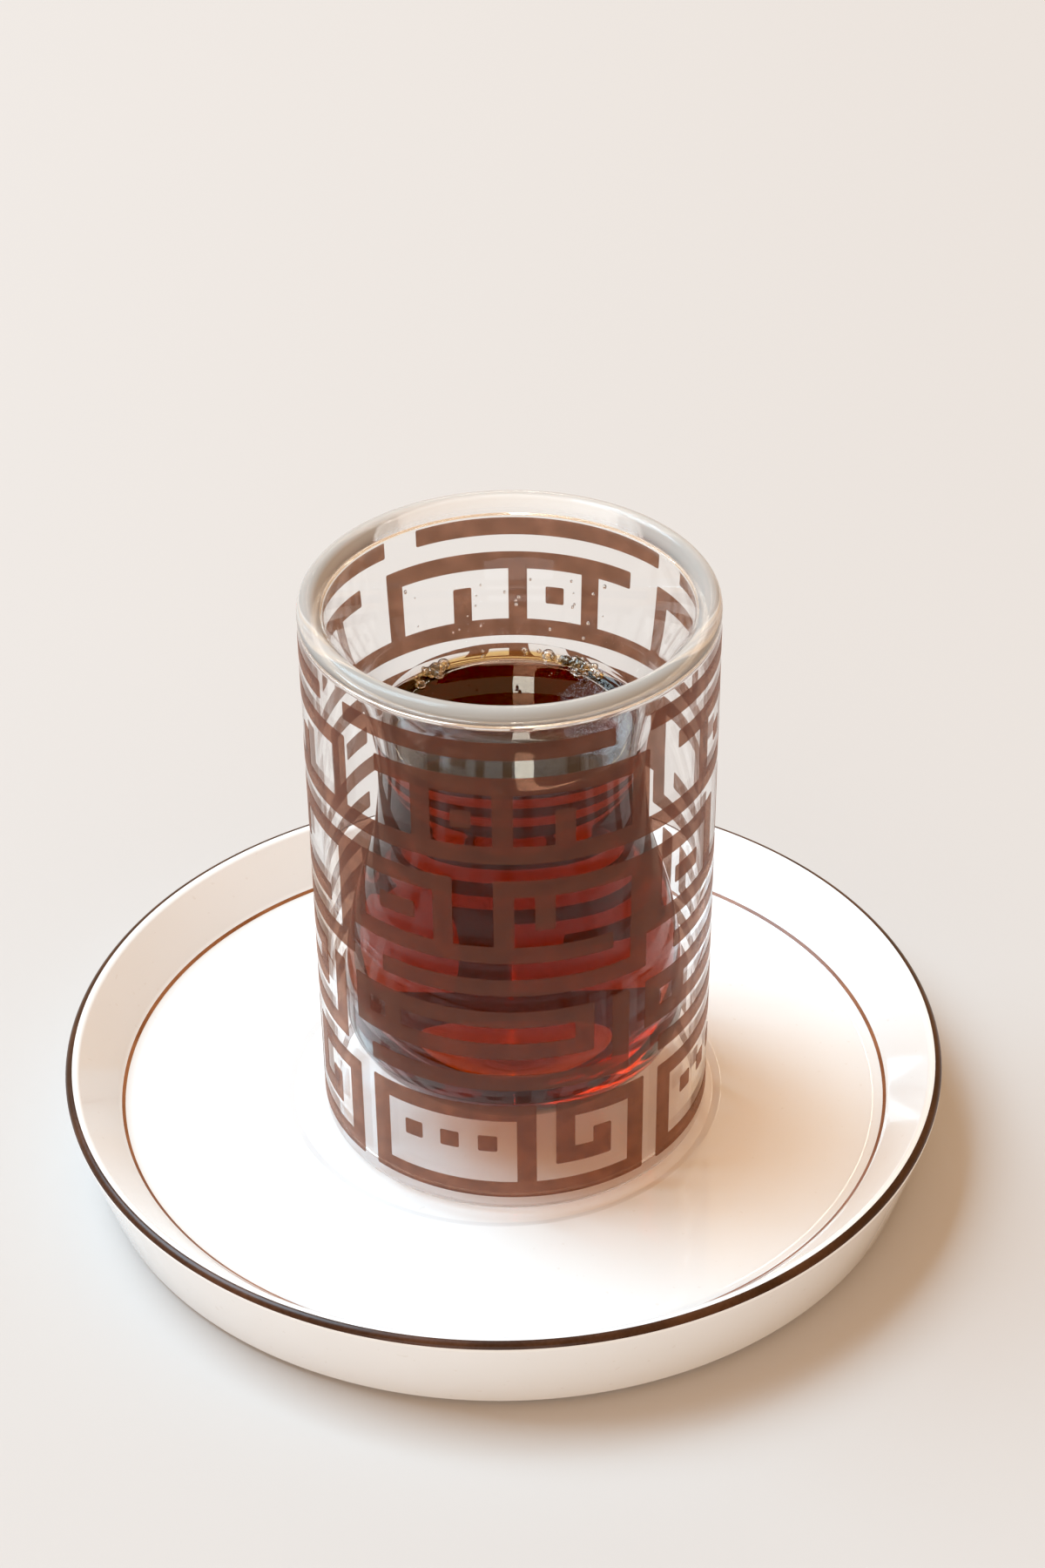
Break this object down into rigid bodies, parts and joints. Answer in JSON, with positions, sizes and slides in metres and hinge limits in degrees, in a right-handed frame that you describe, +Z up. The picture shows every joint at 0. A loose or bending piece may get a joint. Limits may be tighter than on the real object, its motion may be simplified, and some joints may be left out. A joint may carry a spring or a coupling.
{
  "type": "tea glass on a saucer",
  "caption": "Straight double-walled glass with a waisted inner vessel of dark tea and a brown angular fret print, standing on a white porcelain saucer with brown line edging.",
  "frame": {"origin": "middle of the saucer's foot, on the table", "axes": "+Z up; the glass stands a little off the saucer's middle towards +X and -Y"},
  "size_m": [0.1372, 0.1372, 0.0997],
  "materials": {
    "porcelain": "clear gloss glaze over white porcelain",
    "glass": "clear polished borosilicate",
    "tea": "clear dark red-brown liquid",
    "brown_enamel": "fired brown enamel, satin"
  },
  "bodies": {
    "root": {"saucer": "porcelain", "glass": "glass", "tea": "tea"}
  },
  "joints": []
}
